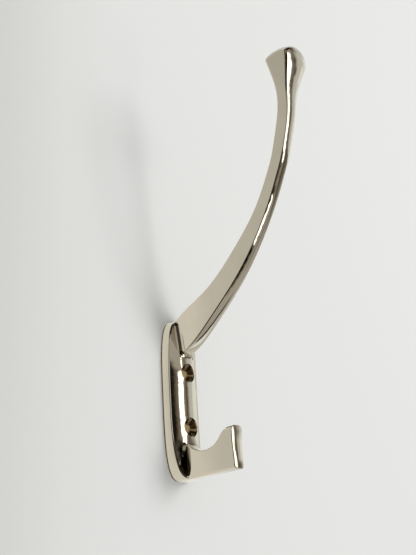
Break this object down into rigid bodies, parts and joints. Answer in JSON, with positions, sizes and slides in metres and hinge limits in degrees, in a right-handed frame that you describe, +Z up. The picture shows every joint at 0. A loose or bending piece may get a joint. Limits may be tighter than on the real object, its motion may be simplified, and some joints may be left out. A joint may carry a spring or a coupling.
{
  "type": "hat and coat hook",
  "caption": "One-piece cast wall hook: an upright plate with two countersunk holes, a long upswept arm with a domed tip for a hat and a short upturned hook for a coat",
  "frame": {"origin": "centre of the plate's flat back face, on the wall", "axes": "+Z up along the plate, +Y into the wall, so the hook stands out along -Y, +X to the right of someone facing the wall"},
  "size_m": [0.0202, 0.0809, 0.1786],
  "materials": {
    "polished_nickel": "mirror-polished nickel plate"
  },
  "bodies": {
    "root": {"hook": "polished_nickel"}
  },
  "joints": []
}
